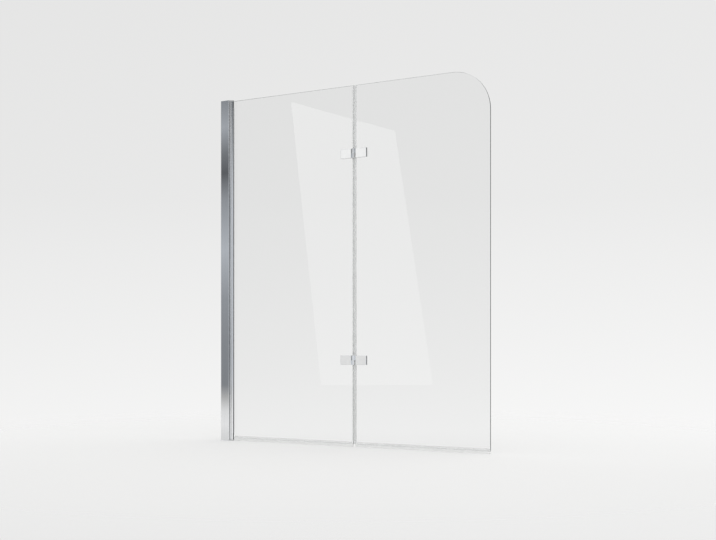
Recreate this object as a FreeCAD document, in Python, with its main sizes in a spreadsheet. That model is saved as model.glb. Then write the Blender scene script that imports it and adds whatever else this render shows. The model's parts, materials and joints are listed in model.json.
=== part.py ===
import FreeCAD, Part
import os
import Sketcher

# Two-panel folding bath screen. The wall plane is X = 0, the glass stands in the plane Y = 0,
# the bath rim is Z = 0, +X runs away from the wall and -Y is the side that the hinge barrels are on.

# Driving sizes in millimetres, one cell each.
SIZES = {
    # Whole screen
    "screen_height": 1400,
    "screen_reach": 1200,
    "overrun": 1,
    # Glass
    "glass_thickness": 6,
    "glass_lift": 11,
    "glass_gap": 6,
    "glass_arris": 0.5,
    "corner_radius": 150,
    # Wall channel
    "channel_reach": 41,
    "channel_depth": 26,
    "channel_wall": 1.8,
    "channel_corner": 1.5,
    "channel_lip_radius": 0.6,
    "wall_hole_radius": 2.75,
    "wall_hole_end": 100,
    # Carrier profile that slides in the channel
    "carrier_fit": 0.3,
    "carrier_wall": 1.5,
    "carrier_overlap": 27,
    "carrier_nose": 0.5,
    "carrier_nose_inset": 2,
    "carrier_shoulder_depth": 6,
    "carrier_rib_gap": 0.5,
    "carrier_rib_width": 3.6,
    "carrier_rib_flat": 0.1,
    # Wiper seal between carrier and upright
    "wiper_neck": 2.4,
    "wiper_foot": 5,
    "wiper_foot_thickness": 1,
    "wiper_clearance": 0.3,
    # Screws that lock the carrier in the channel, and their covers
    "lock_screw_inset": 14,
    "lock_screw_end": 18,
    "lock_shank_radius": 2,
    "lock_shank_length": 9,
    "lock_head_rim": 2,
    "lock_head_height": 2.4,
    "lock_head_bevel": 0.8,
    "lock_socket_width": 2.5,
    "lock_socket_depth": 1.4,
    "lock_hole_fit": 0.2,
    "cover_side_gap": 1.2,
    "cover_top_gap": 0.4,
    "cover_wall": 0.8,
    "cover_bevel": 0.9,
    # Pivot upright that holds the inner glass, and the gasket in its slot
    "upright_cheek": 3,
    "upright_gap": 1,
    "slot_past_axis": 1.5,
    "slot_lip_radius": 0.3,
    "chamber_radius": 1.4,
    "chamber_wall": 1.3,
    "gasket_wall": 1,
    "gasket_bead": 0.8,
    # Pivot blocks, bushes, and pins with plugs in the upright's ends
    "lug_height": 3.2,
    "lug_floor": 1,
    "plug_past_screw": 10,
    "plug_fit": 0.2,
    "bush_wall": 1.5,
    "bush_flange_rim": 2,
    "bush_flange": 0.6,
    "bush_fit": 0.03,
    "pivot_play": 0.2,
    "pivot_pin_radius": 3,
    "end_plug_length": 28,
    "end_plug_gap": 0.5,
    "notch_radius": 2,
    "pin_fit": 0.05,
    "pin_bevel": 0.4,
    # Glass hinges
    "lower_hinge_height": 335,
    "upper_hinge_drop": 267,
    "fold_clearance": 1.5,
    "fold_gap": 0.5,
    "leaf_seal_gap": 0.8,
    "leaf_width": 48,
    "leaf_height": 36,
    "leaf_thickness": 7,
    "leaf_corner": 1.5,
    "leaf_edge": 1,
    "arm_thickness": 4.5,
    "knuckle_wall": 3,
    "washer_thickness": 1,
    "hinge_pin_radius": 2,
    "pad_thickness": 1,
    "pad_inset": 0.5,
    "clamp_thickness": 4.5,
    "clamp_inset": 7.5,
    "clamp_screw_radius": 2.5,
    "clamp_head_rim": 2.1,
    "clamp_socket_width": 3,
    "clamp_socket_depth": 1.8,
    "clamp_screw_fit": 0.2,
    "leaf_face": 2.5,
    "sleeve_wall": 2.1,
    "sleeve_fit": 0.2,
    # Seals on the glass edges
    "seal_wall": 1,
    "drip_leg": 9,
    "drip_base": 1.2,
    "drip_fin": 1,
    "drip_rim_gap": 0.5,
    "drip_skirt_flare": 1,
    "drip_lip_rise": 1,
    "drip_lip_flare": 2,
    "drip_start_gap": 0.5,
    "edge_leg": 5.8,
    "edge_base": 1,
    "edge_nose_root": 2.2,
    "edge_nose_tip": 1.2,
    "edge_nose_radius": 0.6,
    "edge_clearance": 0.3,
    "edge_foot_gap": 0.6,
}

# Places worked out from the driving sizes.
LAYOUT = {
    "glass_half": "Dims.glass_thickness / 2",
    "channel_half": "Dims.channel_depth / 2",
    "channel_inner_half": "Dims.channel_depth / 2 - Dims.channel_wall",
    "carrier_half": "channel_inner_half - Dims.carrier_fit",
    "carrier_inner_half": "carrier_half - Dims.carrier_wall",
    "carrier_start": "Dims.channel_reach - Dims.carrier_overlap",
    "carrier_face": "Dims.channel_reach + Dims.carrier_nose",
    "carrier_web": "carrier_face - Dims.carrier_wall",
    "carrier_shoulder": "Dims.channel_reach - Dims.carrier_shoulder_depth",
    "carrier_shoulder_inside": "carrier_shoulder - Dims.carrier_wall",
    "nose_half": "carrier_half - Dims.carrier_nose_inset",
    "nose_inner_half": "nose_half - Dims.carrier_wall",
    "wiper_box_back": "carrier_web - Dims.wiper_foot_thickness - Dims.carrier_wall",
    "wiper_box_half": "Dims.wiper_foot / 2 + Dims.carrier_wall",
    "slot_half": "glass_half + Dims.gasket_wall",
    "upright_radius": "slot_half + Dims.upright_cheek",
    "upright_axis": "carrier_face + Dims.upright_gap + upright_radius",
    "slot_lip": "sqrt(upright_radius ^ 2 - slot_half ^ 2)",
    "chamber_place": "-(Dims.slot_past_axis + Dims.chamber_wall + Dims.chamber_radius)",
    "gasket_floor": "Dims.gasket_wall - Dims.slot_past_axis",
    "gasket_mouth": "upright_radius + Dims.gasket_bead",
    "end_plug_step": "Dims.end_plug_length + Dims.end_plug_gap",
    "carrier_rib_tip": "upright_axis - slot_half - Dims.carrier_rib_gap",
    "carrier_rib_radius": "(Dims.carrier_rib_width - Dims.carrier_rib_flat) / 2",
    "carrier_height": "Dims.screen_height - 2 * Dims.lug_height",
    "upright_foot": "Dims.lug_height + Dims.bush_flange",
    "glass_top": "Dims.screen_height - upright_foot - Dims.pivot_play",
    "upright_height": "glass_top - upright_foot",
    "lock_screw_x": "Dims.channel_reach - Dims.lock_screw_inset",
    "lock_screw_span": "Dims.screen_height - 2 * Dims.lock_screw_end",
    "lock_head_radius": "Dims.lock_shank_radius + Dims.lock_head_rim",
    "cover_inner_radius": "lock_head_radius + Dims.cover_side_gap",
    "cover_radius": "cover_inner_radius + Dims.cover_wall",
    "cover_ceiling": "Dims.lock_head_height + Dims.cover_top_gap",
    "cover_height": "cover_ceiling + Dims.cover_wall",
    "plug_reach": "Dims.lock_screw_end + Dims.plug_past_screw",
    "bush_radius": "Dims.pivot_pin_radius + Dims.bush_wall",
    "bush_flange_radius": "bush_radius + Dims.bush_flange_rim",
    "folded_edge": "upright_axis + channel_half + Dims.fold_clearance",
    "fold_axis": "(Dims.screen_reach + folded_edge) / 2",
    "inner_glass_start": "upright_axis + gasket_floor",
    "notch_end": "upright_axis + upright_radius + Dims.end_plug_gap",
    "notch_foot": "upright_foot + end_plug_step",
    "notch_top": "glass_top - end_plug_step",
    "inner_glass_end": "fold_axis - Dims.glass_gap / 2",
    "outer_glass_start": "fold_axis + Dims.glass_gap / 2",
    "leaf_back": "Dims.fold_gap + Dims.leaf_thickness",
    "leaf_half": "Dims.leaf_height / 2",
    "leaf_setback": "Dims.glass_gap / 2 + Dims.edge_leg + Dims.leaf_seal_gap",
    "leaf_end": "leaf_setback + Dims.leaf_width",
    "leaf_middle": "leaf_setback + Dims.leaf_width / 2",
    "clamp_screw_spacing": "Dims.leaf_width / 3",
    "barrel_radius": "Dims.hinge_pin_radius + Dims.knuckle_wall",
    "thread_depth": "Dims.leaf_thickness - Dims.leaf_face",
    "clamp_head_radius": "Dims.clamp_screw_radius + Dims.clamp_head_rim",
    "clamp_hole_radius": "Dims.clamp_screw_radius + Dims.clamp_screw_fit",
    "sleeve_radius": "clamp_hole_radius + Dims.sleeve_wall",
    "glass_front": "leaf_back + Dims.pad_thickness",
    "glass_back": "glass_front + Dims.glass_thickness",
    "clamp_front": "glass_back + Dims.pad_thickness",
    "clamp_back": "clamp_front + Dims.clamp_thickness",
    "hinge_y": "-(glass_front + glass_half)",
    "upper_hinge_height": "Dims.screen_height - Dims.upper_hinge_drop",
    "hinge_span": "upper_hinge_height - Dims.lower_hinge_height",
    "knuckle_height": "(Dims.leaf_height - Dims.washer_thickness) / 2",
    "seal_half": "glass_half + Dims.seal_wall",
    "drip_skirt_drop": "Dims.glass_lift - Dims.drip_rim_gap",
    "drip_lip_drop": "drip_skirt_drop - Dims.drip_lip_rise",
    "drip_start": "upright_axis + nose_half + Dims.drip_start_gap",
    "edge_foot": "Dims.glass_lift + Dims.drip_leg + Dims.edge_foot_gap",
    "edge_nose": "Dims.glass_gap / 2 - Dims.edge_clearance",
}

# Holes in the channel's web, lock screws up the channel, and the two hinges.
WALL_HOLE_COUNT = 4
LOCK_SCREW_COUNT = 3
LOCK_SCREW_PLACE = ("Layout.lock_screw_x", "Layout.channel_half", "Dims.lock_screw_end")
HINGES = {"lower": "Dims.lower_hinge_height", "upper": "Layout.upper_hinge_height"}
# The inner panel lies on the wall side of the fold, the outer panel on the free side.
PANELS = {"inner": -1, "outer": 1}
# Two points closer than this are the same point.
SAME_PLACE = 0.001

doc = FreeCAD.newDocument("bath_screen")
nodes = []


def fill_sheet(name, cells):
    """A sheet with one named cell a row."""
    sheet = doc.addObject("Spreadsheet::Sheet", name)
    for row, (alias, content) in enumerate(cells.items(), 1):
        sheet.set(f"A{row}", alias)
        sheet.set(f"B{row}", content)
        sheet.setAlias(f"B{row}", alias)
    doc.recompute()
    return sheet


dims = fill_sheet("Dims", {alias: str(size) for alias, size in SIZES.items()})
layout = fill_sheet("Layout", {alias: f"={formula}" for alias, formula in LAYOUT.items()})


def value(expression):
    """A size expression as a number."""
    return float(layout.evalExpression(expression))


def new_body(label, x="0", y="0", z="0"):
    """An empty sub-part, placed by three size expressions."""
    body = doc.addObject("PartDesign::Body", label)
    body.Label = label
    for axis, expression in zip("xyz", (x, y, z)):
        body.setExpression(f"Placement.Base.{axis}", expression)
    nodes.append(body)
    return body


def origin_feature(body, role):
    """The body's own base plane or axis with this role."""
    return next(feature for feature in body.Origin.OriginFeatures if feature.Role == role)


def new_sketch(body, plane, offset="0"):
    """A sketch on one of the body's base planes, moved along the plane's normal."""
    sketch = body.newObject("Sketcher::SketchObject", f"{body.Name}_sketch")
    sketch.AttachmentSupport = (origin_feature(body, plane), [""])
    sketch.MapMode = "FlatFace"
    sketch.setExpression("AttachmentOffset.Base.z", offset)
    return sketch


def fix_point(sketch, geometry, point, x, y):
    """Ties a point of the sketch to two size expressions."""
    for kind, expression in (("DistanceX", x), ("DistanceY", y)):
        rule = Sketcher.Constraint(kind, -1, 1, geometry, point, value(expression))
        sketch.setExpression(f"Constraints[{sketch.addConstraint(rule)}]", expression)


def outline(sketch, *corners):
    """A closed outline of straight sides through these corners."""
    spots = [FreeCAD.Vector(value(x), value(y), 0) for x, y in corners]
    ends = spots[1:] + spots[:1]
    sides = [sketch.addGeometry(Part.LineSegment(*pair), False) for pair in zip(spots, ends)]
    for number, (x, y) in enumerate(corners):
        sketch.addConstraint(Sketcher.Constraint("Coincident", sides[number - 1], 2, sides[number], 1))
        fix_point(sketch, sides[number], 1, x, y)


def rectangle(sketch, x_from, x_to, y_from, y_to):
    """An upright rectangle between four size expressions."""
    outline(sketch, (x_from, y_from), (x_to, y_from), (x_to, y_to), (x_from, y_to))


def circle(sketch, x, y, radius):
    """A circle about a point."""
    centre = FreeCAD.Vector(value(x), value(y), 0)
    upwards = FreeCAD.Vector(0, 0, 1)
    geometry = sketch.addGeometry(Part.Circle(centre, upwards, value(radius)), False)
    rule = Sketcher.Constraint("Radius", geometry, value(radius))
    sketch.setExpression(f"Constraints[{sketch.addConstraint(rule)}]", radius)
    fix_point(sketch, geometry, 3, x, y)


def add_feature(body, kind, sketch):
    """A feature on a sketch, which becomes the body's last one."""
    feature = body.newObject(f"PartDesign::{kind}", f"{body.Name}_{kind}")
    feature.Profile = sketch
    return feature


def pad(body, sketch, length, reverse=False):
    """Material along the sketch's normal, or against it."""
    feature = add_feature(body, "Pad", sketch)
    feature.setExpression("Length", length)
    feature.Reversed = reverse
    doc.recompute()
    return feature


def cut(body, sketch, depth, reverse=False):
    """A pocket along the sketch's normal, or against it, that has to take material away."""
    before = body.Shape.Volume
    feature = add_feature(body, "Pocket", sketch)
    feature.setExpression("Length", depth)
    feature.Reversed = not reverse
    doc.recompute()
    if not body.Shape.Volume < before:
        raise ValueError(f"a pocket in {body.Label} cuts nothing")
    return feature


def turn(body, sketch):
    """A solid of revolution about the sketch's upright axis."""
    feature = add_feature(body, "Revolution", sketch)
    feature.ReferenceAxis = (sketch, ["V_Axis"])
    doc.recompute()
    return feature


def edge_names(shape, chosen):
    """Names of the shape's edges that are among the chosen ones."""
    return [
        f"Edge{number}"
        for number, edge in enumerate(shape.Edges, 1)
        if any(map(edge.isSame, chosen))
    ]


def edges_on(shape, run, **sides):
    """Straight edges along one axis, at the named ends of the shape's box."""
    found = []
    for edge in shape.Edges:
        straight = edge.Curve.TypeId == "Part::GeomLine"
        if not straight or abs(getattr(edge.Curve.Direction, run)) < 1 - SAME_PLACE:
            continue
        gaps = [
            getattr(edge.CenterOfMass, axis) - getattr(shape.BoundBox, axis.upper() + end)
            for axis, end in sides.items()
        ]
        if all(abs(gap) < SAME_PLACE for gap in gaps):
            found.append(edge)
    return found


def face_on(shape, axis, end):
    """The flat face at one end of the shape's box."""
    limit = getattr(shape.BoundBox, axis.upper() + end)
    flat = [face for face in shape.Faces if face.Surface.TypeId == "Part::GeomPlane"]
    return min(flat, key=lambda face: abs(getattr(face.CenterOfMass, axis) - limit))


def rim_of(shape, axis, end):
    """Outer edges of the flat face at one end of the shape's box."""
    return face_on(shape, axis, end).OuterWire.Edges


def holes_of(shape, axis, end):
    """Hole edges of the flat face at one end of the shape's box."""
    face = face_on(shape, axis, end)
    return [edge for wire in face.Wires if not wire.isSame(face.OuterWire) for edge in wire.Edges]


def local_shape(body):
    """The body's shape in its own frame."""
    return body.Tip.Shape


def dress(body, kind, property_name, size, edges):
    """A fillet or chamfer on chosen edges of the body's last feature."""
    base = body.Tip
    names = edge_names(base.Shape, edges)
    feature = body.newObject(f"PartDesign::{kind}", f"{body.Name}_{kind}")
    feature.Base = (base, names)
    feature.setExpression(property_name, size)
    doc.recompute()


def fillet(body, radius, edges):
    """Rounds chosen edges."""
    dress(body, "Fillet", "Radius", radius, edges)


def chamfer(body, size, edges):
    """Bevels chosen edges."""
    dress(body, "Chamfer", "Size", size, edges)


def repeat(body, features, role, length, count, second=None):
    """Copies of features along one axis, or along two, as separate solids."""
    pattern = body.newObject("PartDesign::LinearPattern", f"{body.Name}_row")
    pattern.Originals = features
    pattern.Direction = (origin_feature(body, role), [""])
    pattern.setExpression("Length", length)
    pattern.Occurrences = count
    if second:
        second_role, second_length, second_count = second
        pattern.Direction2 = (origin_feature(body, second_role), [""])
        pattern.setExpression("Length2", second_length)
        pattern.Occurrences2 = second_count
    body.Tip = pattern
    doc.recompute()


def lock_holes(body, lowest):
    """Holes for the lock screws in the back flange, from the given height of the lowest one."""
    sketch = new_sketch(body, "XZ_Plane", "-Layout.channel_half")
    for number in range(LOCK_SCREW_COUNT):
        height = f"{lowest} + {number} * Layout.lock_screw_span / {LOCK_SCREW_COUNT - 1}"
        circle(sketch, "Layout.lock_screw_x", height, "Dims.lock_shank_radius + Dims.lock_hole_fit")
    cut(body, sketch, "Layout.channel_half")


def wall_channel():
    """U-section channel, its web on the wall and its mouth towards the glass."""
    body = new_body("wall_channel")
    sketch = new_sketch(body, "XY_Plane")
    rectangle(sketch, "0", "Dims.channel_reach", "-Layout.channel_half", "Layout.channel_half")
    pad(body, sketch, "Dims.screen_height")
    for end in ("Min", "Max"):
        fillet(body, "Dims.channel_corner", edges_on(local_shape(body), "z", x="Min", y=end))
        fillet(body, "Dims.channel_lip_radius", edges_on(local_shape(body), "z", x="Max", y=end))
    sketch = new_sketch(body, "XY_Plane")
    mouth = "Dims.channel_reach + Dims.overrun"
    inner = "Layout.channel_inner_half"
    rectangle(sketch, "Dims.channel_wall", mouth, f"-{inner}", inner)
    cut(body, sketch, "Dims.screen_height")
    sketch = new_sketch(body, "YZ_Plane")
    for number in range(WALL_HOLE_COUNT):
        span = f"(Dims.screen_height - 2 * Dims.wall_hole_end) / {WALL_HOLE_COUNT - 1}"
        circle(sketch, "0", f"Dims.wall_hole_end + {number} * {span}", "Dims.wall_hole_radius")
    cut(body, sketch, "Dims.channel_wall + Dims.overrun")
    lock_holes(body, "Dims.lock_screw_end")


def wiper_outline(sketch, lip):
    """T-section of the wiper seal and of its slot, from the foot behind the web to the lip."""
    foot = "Layout.carrier_web - Dims.wiper_foot_thickness"
    outline(
        sketch,
        (foot, "-Dims.wiper_foot / 2"),
        ("Layout.carrier_web", "-Dims.wiper_foot / 2"),
        ("Layout.carrier_web", "-Dims.wiper_neck / 2"),
        (lip, "-Dims.wiper_neck / 2"),
        (lip, "Dims.wiper_neck / 2"),
        ("Layout.carrier_web", "Dims.wiper_neck / 2"),
        ("Layout.carrier_web", "Dims.wiper_foot / 2"),
        (foot, "Dims.wiper_foot / 2"),
    )


def carrier_profile():
    """U-section that slides in the channel; two round-ended ribs on its narrower nose flank the upright."""
    body = new_body("carrier_profile", z="Dims.lug_height")
    sketch = new_sketch(body, "XY_Plane")
    side = "Layout.carrier_half"
    nose = "Layout.nose_half"
    rib_root = f"{nose} - Dims.carrier_rib_width"
    outline(
        sketch,
        ("Layout.carrier_start", f"-{side}"),
        ("Layout.carrier_shoulder", f"-{side}"),
        ("Layout.carrier_shoulder", f"-{nose}"),
        ("Layout.carrier_rib_tip", f"-{nose}"),
        ("Layout.carrier_rib_tip", f"-({rib_root})"),
        ("Layout.carrier_face", f"-({rib_root})"),
        ("Layout.carrier_face", rib_root),
        ("Layout.carrier_rib_tip", rib_root),
        ("Layout.carrier_rib_tip", nose),
        ("Layout.carrier_shoulder", nose),
        ("Layout.carrier_shoulder", side),
        ("Layout.carrier_start", side),
    )
    pad(body, sketch, "Layout.carrier_height")
    fillet(body, "Layout.carrier_rib_radius", edges_on(local_shape(body), "z", x="Max"))
    sketch = new_sketch(body, "XY_Plane")
    back = "Layout.carrier_start - Dims.overrun"
    inner = "Layout.carrier_inner_half"
    nose_inner = "Layout.nose_inner_half"
    outline(
        sketch,
        (back, f"-{inner}"),
        ("Layout.carrier_shoulder_inside", f"-{inner}"),
        ("Layout.carrier_shoulder_inside", f"-{nose_inner}"),
        ("Layout.carrier_web", f"-{nose_inner}"),
        ("Layout.carrier_web", nose_inner),
        ("Layout.carrier_shoulder_inside", nose_inner),
        ("Layout.carrier_shoulder_inside", inner),
        (back, inner),
    )
    cut(body, sketch, "Layout.carrier_height")
    sketch = new_sketch(body, "XY_Plane")
    half = "Layout.wiper_box_half"
    rectangle(sketch, "Layout.wiper_box_back", "Layout.carrier_web", f"-{half}", half)
    pad(body, sketch, "Layout.carrier_height")
    sketch = new_sketch(body, "XY_Plane")
    wiper_outline(sketch, "Layout.carrier_face + Dims.overrun")
    cut(body, sketch, "Layout.carrier_height")
    lock_holes(body, "Dims.lock_screw_end - Dims.lug_height")


def wiper_seal():
    """Soft T-strip in the carrier's slot, its lip just short of the upright."""
    body = new_body("wiper_seal", z="Dims.lug_height")
    sketch = new_sketch(body, "XY_Plane")
    wiper_outline(sketch, "Layout.carrier_face + Dims.upright_gap - Dims.wiper_clearance")
    pad(body, sketch, "Layout.carrier_height")


def pivot_block(end, outer_face, upwards):
    """End piece of the channel, with a plug in the carrier and a round lug at the upright's end."""
    body = new_body(f"{end}_pivot_block", z=outer_face)
    down = not upwards
    sign = "" if upwards else "-"
    sketch = new_sketch(body, "XY_Plane")
    back = "Dims.channel_wall + Dims.carrier_fit"
    rectangle(sketch, back, "Dims.channel_reach", "-Layout.carrier_half", "Layout.carrier_half")
    pad(body, sketch, "Dims.lug_height", down)
    sketch = new_sketch(body, "XY_Plane")
    neck = "Dims.channel_reach - Dims.overrun"
    rectangle(sketch, neck, "Layout.upright_axis", "-Layout.upright_radius", "Layout.upright_radius")
    pad(body, sketch, "Dims.lug_height", down)
    sketch = new_sketch(body, "XY_Plane")
    circle(sketch, "Layout.upright_axis", "0", "Layout.upright_radius")
    pad(body, sketch, "Dims.lug_height", down)
    sketch = new_sketch(body, "XY_Plane")
    plug_half = "Layout.carrier_inner_half - Dims.plug_fit"
    plug_front = "Layout.carrier_shoulder_inside - Dims.plug_fit"
    rectangle(sketch, "Layout.carrier_start", plug_front, f"-({plug_half})", plug_half)
    pad(body, sketch, "Layout.plug_reach", down)
    sketch = new_sketch(body, "XY_Plane", f"{sign}Dims.lug_floor")
    circle(sketch, "Layout.upright_axis", "0", "Layout.bush_radius + Dims.bush_fit")
    cut(body, sketch, "Dims.lug_height - Dims.lug_floor", down)
    sketch = new_sketch(body, "XZ_Plane", "-Layout.channel_half")
    thread_radius = "Dims.lock_shank_radius + Dims.pin_fit"
    circle(sketch, "Layout.lock_screw_x", f"{sign}Dims.lock_screw_end", thread_radius)
    cut(body, sketch, "Dims.channel_wall + Dims.lock_shank_length")


def pivot_bush(end, lug_face, upwards):
    """Flanged bush in the lug, its flange under the upright's end."""
    body = new_body(f"{end}_pivot_bush", z=lug_face)
    depth = "Dims.lug_height - Dims.lug_floor"
    down = not upwards
    sign = "-" if upwards else ""
    sketch = new_sketch(body, "XY_Plane")
    circle(sketch, "Layout.upright_axis", "0", "Layout.bush_flange_radius")
    pad(body, sketch, "Dims.bush_flange", down)
    sketch = new_sketch(body, "XY_Plane")
    circle(sketch, "Layout.upright_axis", "0", "Layout.bush_radius")
    pad(body, sketch, depth, upwards)
    sketch = new_sketch(body, "XY_Plane", f"{sign}({depth})")
    circle(sketch, "Layout.upright_axis", "0", "Dims.pivot_pin_radius + Dims.pin_fit")
    cut(body, sketch, f"{depth} + Dims.bush_flange", down)


def pivot_pin(end, upright_end, upwards, reach):
    """Pin that turns in the bush, with a plug in the upright's slot where the glass is notched."""
    body = new_body(f"{end}_pivot_pin", "Layout.upright_axis", z=upright_end)
    down = not upwards
    sketch = new_sketch(body, "XY_Plane")
    floor = "-(Dims.slot_past_axis - Dims.pin_fit)"
    side = "Layout.slot_half - Dims.pin_fit"
    rectangle(sketch, floor, "Layout.slot_lip", f"-({side})", side)
    pad(body, sketch, "Dims.end_plug_length", down)
    sketch = new_sketch(body, "XY_Plane")
    circle(sketch, "0", "0", "Dims.pivot_pin_radius")
    pad(body, sketch, reach, upwards)
    tip = "Min" if upwards else "Max"
    chamfer(body, "Dims.pin_bevel", rim_of(local_shape(body), "z", tip))


def pivot_pins():
    """Both pins, which stop just short of the floors of their lugs."""
    reach = "Dims.bush_flange + Dims.lug_height - Dims.lug_floor"
    pivot_pin("lower", "Layout.upright_foot", True, f"{reach} - Dims.pivot_play")
    pivot_pin("upper", "Layout.glass_top", False, reach)


def hex_socket(body, face, width, depth):
    """Hexagonal socket in the flat top of a screw's head."""
    sketch = new_sketch(body, "XZ_Plane", f"-({face})")
    side = f"{width} / sqrt(3)"
    outline(
        sketch,
        (side, "0"),
        (f"{side} / 2", f"{width} / 2"),
        (f"-{side} / 2", f"{width} / 2"),
        (f"-{side}", "0"),
        (f"-{side} / 2", f"-{width} / 2"),
        (f"{side} / 2", f"-{width} / 2"),
    )
    return cut(body, sketch, depth)


def lock_screws():
    """Screws with bevelled heads, through channel and carrier from behind."""
    body = new_body("lock_screws", *LOCK_SCREW_PLACE)
    sketch = new_sketch(body, "XY_Plane")
    outline(
        sketch,
        ("0", "Dims.lock_head_height"),
        ("0", "-Dims.lock_shank_length"),
        ("Dims.lock_shank_radius", "-Dims.lock_shank_length"),
        ("Dims.lock_shank_radius", "0"),
        ("Layout.lock_head_radius", "0"),
        ("Layout.lock_head_radius", "Dims.lock_head_height - Dims.lock_head_bevel"),
        ("Layout.lock_head_radius - Dims.lock_head_bevel", "Dims.lock_head_height"),
    )
    screw = turn(body, sketch)
    socket = hex_socket(body, "Dims.lock_head_height", "Dims.lock_socket_width", "Dims.lock_socket_depth")
    repeat(body, [screw, socket], "Z_Axis", "Layout.lock_screw_span", LOCK_SCREW_COUNT)


def screw_covers():
    """Cup-shaped covers over the heads of the lock screws."""
    body = new_body("lock_screw_covers", *LOCK_SCREW_PLACE)
    sketch = new_sketch(body, "XY_Plane")
    outline(
        sketch,
        ("0", "Layout.cover_height"),
        ("0", "Layout.cover_ceiling"),
        ("Layout.cover_inner_radius", "Layout.cover_ceiling"),
        ("Layout.cover_inner_radius", "0"),
        ("Layout.cover_radius", "0"),
        ("Layout.cover_radius", "Layout.cover_height - Dims.cover_bevel"),
        ("Layout.cover_radius - Dims.cover_bevel", "Layout.cover_height"),
    )
    repeat(body, [turn(body, sketch)], "Z_Axis", "Layout.lock_screw_span", LOCK_SCREW_COUNT)


def pivot_upright():
    """Round bar with a deep slot for the glass edge and a hollow behind the slot."""
    body = new_body("pivot_upright", "Layout.upright_axis", z="Layout.upright_foot")
    sketch = new_sketch(body, "XY_Plane")
    circle(sketch, "0", "0", "Layout.upright_radius")
    circle(sketch, "Layout.chamber_place", "0", "Dims.chamber_radius")
    pad(body, sketch, "Layout.upright_height")
    sketch = new_sketch(body, "XY_Plane")
    mouth = "Layout.upright_radius + Dims.overrun"
    rectangle(sketch, "-Dims.slot_past_axis", mouth, "-Layout.slot_half", "Layout.slot_half")
    cut(body, sketch, "Layout.upright_height")
    fillet(body, "Dims.slot_lip_radius", edges_on(local_shape(body), "z", x="Max"))


def glazing_gasket():
    """U-strip round the glass edge in the upright's slot, between the two end plugs."""
    body = new_body("glazing_gasket", "Layout.upright_axis", z="Layout.notch_foot")
    floor = "-Dims.slot_past_axis"
    sketch = new_sketch(body, "XY_Plane")
    outline(
        sketch,
        (floor, "-Layout.slot_half"),
        ("Layout.gasket_mouth", "-Layout.slot_half"),
        ("Layout.gasket_mouth", "-Layout.glass_half"),
        ("Layout.gasket_floor", "-Layout.glass_half"),
        ("Layout.gasket_floor", "Layout.glass_half"),
        ("Layout.gasket_mouth", "Layout.glass_half"),
        ("Layout.gasket_mouth", "Layout.slot_half"),
        (floor, "Layout.slot_half"),
    )
    pad(body, sketch, "Layout.notch_top - Layout.notch_foot")


def screw_places(side):
    """Clamp screw places beside the fold, as distances along X from the fold axis."""
    middle = f"{side} * Layout.leaf_middle"
    return [f"{middle} - Layout.clamp_screw_spacing / 2", f"{middle} + Layout.clamp_screw_spacing / 2"]


def screw_holes(sketch, panel):
    """Holes in a pane for the sleeves of its clamp screws."""
    for height in HINGES.values():
        for place in screw_places(PANELS[panel]):
            circle(sketch, f"Layout.fold_axis + {place}", height, "Layout.sleeve_radius + Dims.sleeve_fit")


def grind_edges(body):
    """Small bevels round both faces of a pane."""
    shape = local_shape(body)
    chamfer(body, "Dims.glass_arris", rim_of(shape, "y", "Min") + rim_of(shape, "y", "Max"))


def inner_glass():
    """Pane in the upright's slot, notched at its two ends for the end plugs."""
    body = new_body("inner_glass")
    start = "Layout.inner_glass_start"
    notch = "Layout.notch_end"
    end = "Layout.inner_glass_end"
    sketch = new_sketch(body, "XZ_Plane", "Layout.glass_half")
    outline(
        sketch,
        (notch, "Dims.glass_lift"),
        (end, "Dims.glass_lift"),
        (end, "Layout.glass_top"),
        (notch, "Layout.glass_top"),
        (notch, "Layout.notch_top"),
        (start, "Layout.notch_top"),
        (start, "Layout.notch_foot"),
        (notch, "Layout.notch_foot"),
    )
    screw_holes(sketch, "inner")
    pad(body, sketch, "Dims.glass_thickness", True)
    corners = [
        edge
        for edge in edges_on(local_shape(body), "y")
        for height in ("Layout.notch_foot", "Layout.notch_top")
        if edge.CenterOfMass.distanceToPoint(FreeCAD.Vector(value(notch), 0, value(height))) < SAME_PLACE
    ]
    fillet(body, "Dims.notch_radius", corners)
    grind_edges(body)


def outer_glass():
    """Pane with a large round corner at the top of its free end."""
    body = new_body("outer_glass")
    sketch = new_sketch(body, "XZ_Plane", "Layout.glass_half")
    rectangle(sketch, "Layout.outer_glass_start", "Dims.screen_reach", "Dims.glass_lift", "Layout.glass_top")
    screw_holes(sketch, "outer")
    pad(body, sketch, "Dims.glass_thickness", True)
    fillet(body, "Dims.corner_radius", edges_on(local_shape(body), "y", x="Max", z="Max"))
    grind_edges(body)


def drip_seal(panel, start, end):
    """Clip along the bottom edge of the glass, with a skirt in front and a slanted lip behind."""
    body = new_body(f"{panel}_drip_seal", start, z="Dims.glass_lift")
    half = "Layout.seal_half"
    base = "-Dims.drip_base"
    skirt = f"-({half} + Dims.drip_skirt_flare)"
    lip = f"{half} + Dims.drip_lip_flare"
    sketch = new_sketch(body, "YZ_Plane")
    outline(
        sketch,
        (f"-{half}", "Dims.drip_leg"),
        ("-Layout.glass_half", "Dims.drip_leg"),
        ("-Layout.glass_half", "0"),
        ("Layout.glass_half", "0"),
        ("Layout.glass_half", "Dims.drip_leg"),
        (half, "Dims.drip_leg"),
        (half, base),
        (lip, "-Layout.drip_lip_drop"),
        (f"{lip} - Dims.drip_fin", "-Layout.drip_lip_drop"),
        (f"{half} - Dims.drip_fin", base),
        (f"-{half} + Dims.drip_fin", base),
        (f"{skirt} + Dims.drip_fin", "-Layout.drip_skirt_drop"),
        (skirt, "-Layout.drip_skirt_drop"),
        (f"-{half}", base),
    )
    pad(body, sketch, f"{end} - ({start})")


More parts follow.
